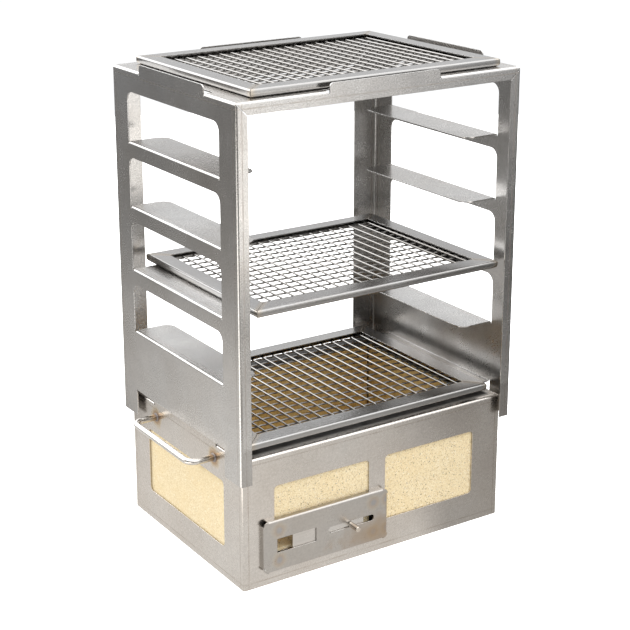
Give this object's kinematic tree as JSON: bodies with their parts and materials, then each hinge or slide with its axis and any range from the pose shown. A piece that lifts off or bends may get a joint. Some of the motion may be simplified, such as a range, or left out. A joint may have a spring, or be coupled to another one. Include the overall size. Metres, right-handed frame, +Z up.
{
  "type": "charcoal table grill",
  "caption": "Brick-lined folded-steel charcoal grill with a sliding air vent, two handles and a lift-off rack holding wire-mesh grates at several heights.",
  "frame": {"origin": "centre of the firebox's underside, on the surface it stands on", "axes": "+X along the front to the right, +Y to the back, +Z up"},
  "size_m": [0.46, 0.3125, 0.602],
  "materials": {
    "firebox_sheet": "satin mill finish, folded",
    "rack_sheet": "satin mill finish, heat dulled",
    "vent_sheet": "satin mill finish",
    "grate_sheet": "bright folded channel",
    "mesh_wire": "bright drawn wire",
    "round_bar": "bright drawn bar",
    "weld_metal": "weld bead with heat tint",
    "firebrick": "porous fired clay"
  },
  "bodies": {
    "firebox": {"firebox_shell": "firebox_sheet", "base_tray": "firebox_sheet", "brick_floor": "firebrick", "brick_front": "firebrick", "brick_rear": "firebrick", "brick_left": "firebrick", "brick_right": "firebrick", "vent_cover": "vent_sheet", "vent_guide_upper": "vent_sheet", "vent_guide_lower": "vent_sheet", "handle_left": "round_bar", "handle_right": "round_bar", "handle_welds": "weld_metal"},
    "vent_damper": {"vent_slider": "vent_sheet", "slider_stud": "round_bar"},
    "rack": {"rack_left_panel": "rack_sheet", "rack_right_panel": "rack_sheet", "rack_front_beam": "rack_sheet", "rack_rear_beam": "rack_sheet"},
    "top_grate": {"top_grate_front_rail": "grate_sheet", "top_grate_rear_rail": "grate_sheet", "top_grate_left_rail": "grate_sheet", "top_grate_right_rail": "grate_sheet", "top_grate_long_wires": "mesh_wire", "top_grate_cross_wires": "mesh_wire"},
    "middle_grate": {"middle_grate_front_rail": "grate_sheet", "middle_grate_rear_rail": "grate_sheet", "middle_grate_left_rail": "grate_sheet", "middle_grate_right_rail": "grate_sheet", "middle_grate_long_wires": "mesh_wire", "middle_grate_cross_wires": "mesh_wire"},
    "bottom_grate": {"bottom_grate_front_rail": "grate_sheet", "bottom_grate_rear_rail": "grate_sheet", "bottom_grate_left_rail": "grate_sheet", "bottom_grate_right_rail": "grate_sheet", "bottom_grate_long_wires": "mesh_wire", "bottom_grate_cross_wires": "mesh_wire"}
  },
  "joints": [
    {"name": "vent_slide", "type": "slide", "parent": "firebox", "child": "vent_damper", "axis": [1, 0, 0], "range_m": [-0.028, 0.032]},
    {"name": "rack_lift", "type": "slide", "parent": "firebox", "child": "rack", "axis": [0, 0, 1], "range_m": [0, 0.25]},
    {"name": "top_grate_lift", "type": "slide", "parent": "rack", "child": "top_grate", "axis": [0, 0, 1], "range_m": [0, 0.15]},
    {"name": "middle_grate_slide", "type": "slide", "parent": "rack", "child": "middle_grate", "axis": [0, -1, 0], "range_m": [0, 0.3]},
    {"name": "bottom_grate_slide", "type": "slide", "parent": "rack", "child": "bottom_grate", "axis": [0, -1, 0], "range_m": [0, 0.3]}
  ]
}
